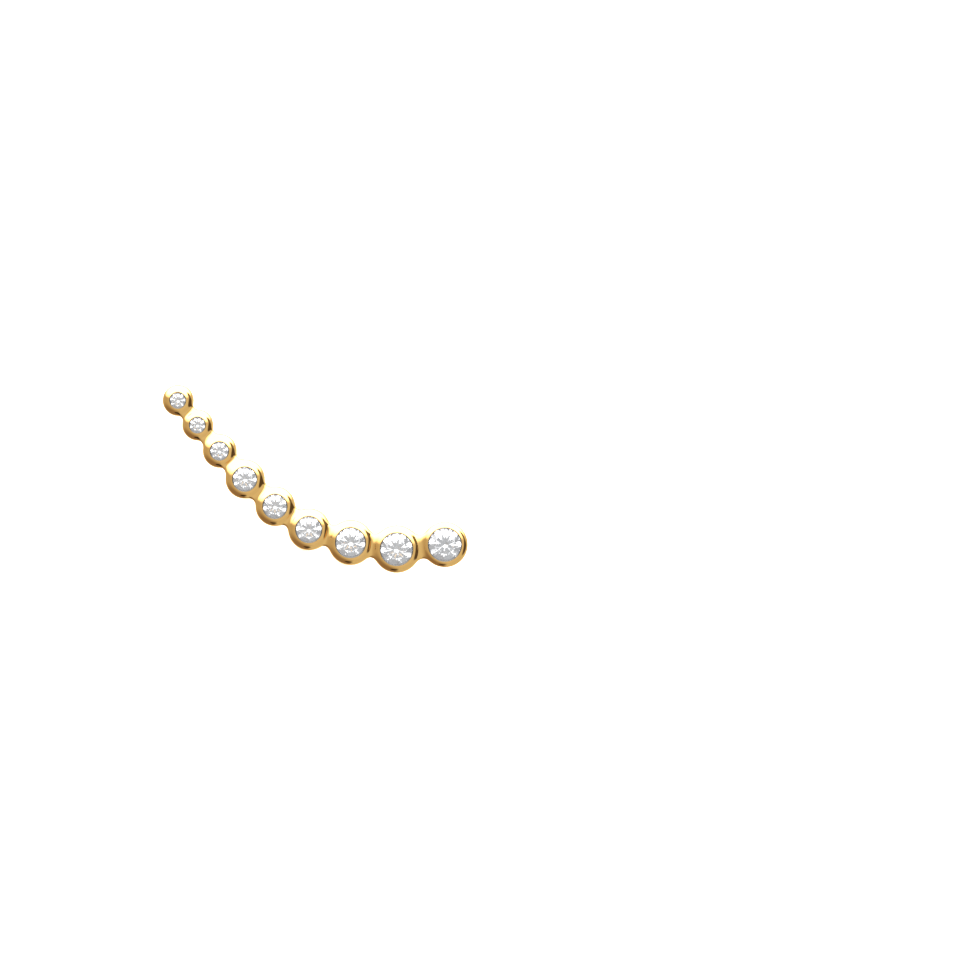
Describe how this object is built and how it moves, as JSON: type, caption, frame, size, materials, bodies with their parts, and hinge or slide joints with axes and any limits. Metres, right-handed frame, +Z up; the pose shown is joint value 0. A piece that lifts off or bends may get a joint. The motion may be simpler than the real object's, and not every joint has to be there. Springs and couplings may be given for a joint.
{
  "type": "ear climber",
  "caption": "Ear climber: a curved, graduated row of round domed bezel cups with brilliant-cut stones, joined by short necks, on a straight ear post behind the lobe end.",
  "frame": {"origin": "middle of the box's bottom face, on the surface that the climber rests on", "axes": "+Z up; +X along the row towards the lobe end; the stones face -Y and lean back, and the post runs back along +Y and down to the surface"},
  "size_m": [0.0264, 0.0122, 0.0086],
  "materials": {
    "gold": "polished yellow gold plate",
    "stone": "clear, faceted and polished"
  },
  "bodies": {
    "root": {"setting": "gold", "stone_1": "stone", "stone_2": "stone", "stone_3": "stone", "stone_4": "stone", "stone_5": "stone", "stone_6": "stone", "stone_7": "stone", "stone_8": "stone", "stone_9": "stone"}
  },
  "joints": []
}
